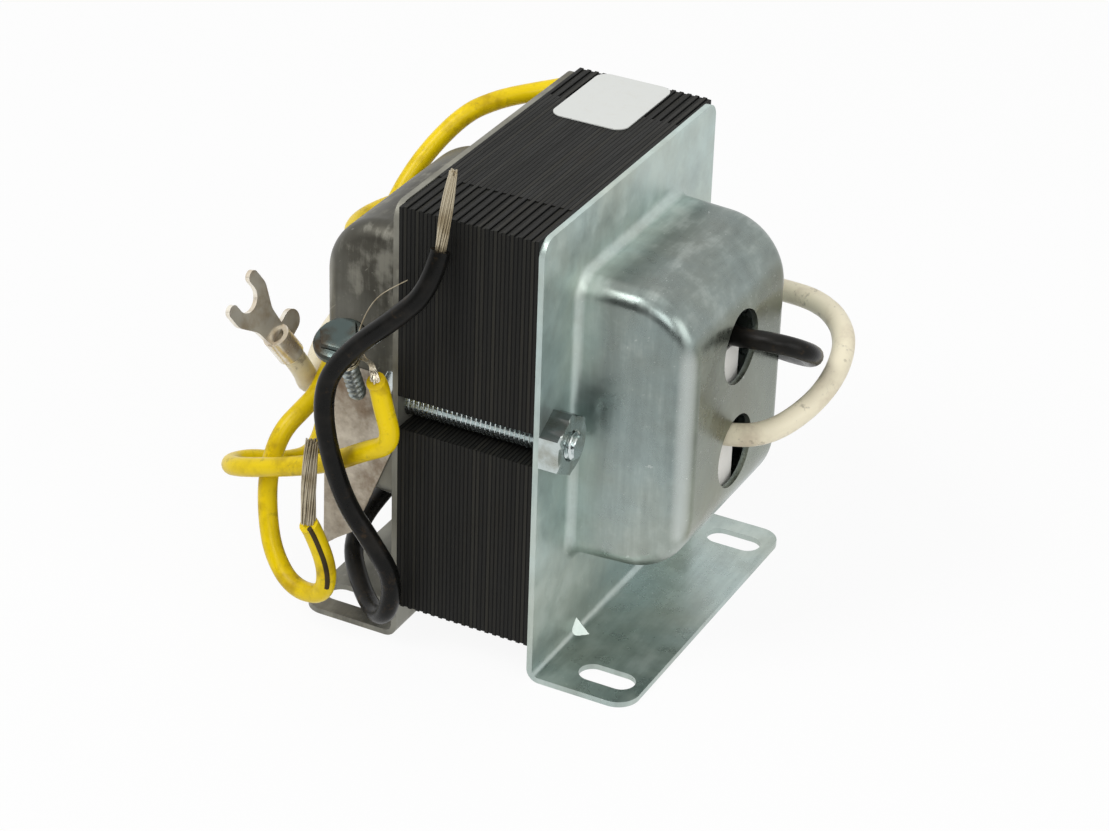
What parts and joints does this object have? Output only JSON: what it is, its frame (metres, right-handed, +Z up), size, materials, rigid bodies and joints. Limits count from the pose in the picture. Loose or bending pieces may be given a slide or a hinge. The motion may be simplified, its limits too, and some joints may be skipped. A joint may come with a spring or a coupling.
{
  "type": "transformer",
  "caption": "Foot-mounted laminated-core transformer with drawn steel end bells, clamp screws and loose insulated wire leads.",
  "frame": {"origin": "on the surface that the feet stand on, under the middle of the core", "axes": "+X along the lamination stack from the rear bell to the front bell, +Y along the coil's axis to the far side, +Z up"},
  "size_m": [0.0861, 0.0748, 0.0807],
  "materials": {
    "core_steel": "varnished sheet edges",
    "zinc_sheet": "zinc-plated, satin",
    "zinc_sheet_worn": "zinc-plated, dull and scuffed",
    "fibre_board": "matt",
    "enamelled_copper": "enamelled",
    "insulating_paper": "varnished paper",
    "bright_zinc": "bright zinc plate",
    "dull_zinc": "zinc plate, dull",
    "label_white": "coated paper",
    "label_paper": "stained paper",
    "black_insulation": "satin",
    "white_insulation": "satin",
    "yellow_insulation": "satin",
    "tinned_copper": "tinned strands",
    "tinned_brass": "tin plate"
  },
  "bodies": {
    "root": {"e_laminations": "core_steel", "i_laminations": "core_steel", "front_bell": "zinc_sheet", "rear_bell": "zinc_sheet_worn", "coil_former": "fibre_board", "primary_winding": "enamelled_copper", "winding_insulation": "insulating_paper", "secondary_winding": "enamelled_copper", "coil_wrap": "insulating_paper", "coil_wedges": "fibre_board", "front_lead_pads": "insulating_paper", "rear_lead_pads": "insulating_paper", "clamp_screws": "bright_zinc", "clamp_nuts": "bright_zinc", "core_label": "label_white", "paper_label": "label_paper", "black_lead": "black_insulation", "black_lead_strands": "tinned_copper", "white_lead": "white_insulation", "fork_terminal": "tinned_brass", "yellow_lead_a": "yellow_insulation", "yellow_a_strands": "tinned_copper", "yellow_lead_b": "yellow_insulation", "yellow_b_strands": "tinned_copper", "terminal_screw": "dull_zinc"}
  },
  "joints": []
}
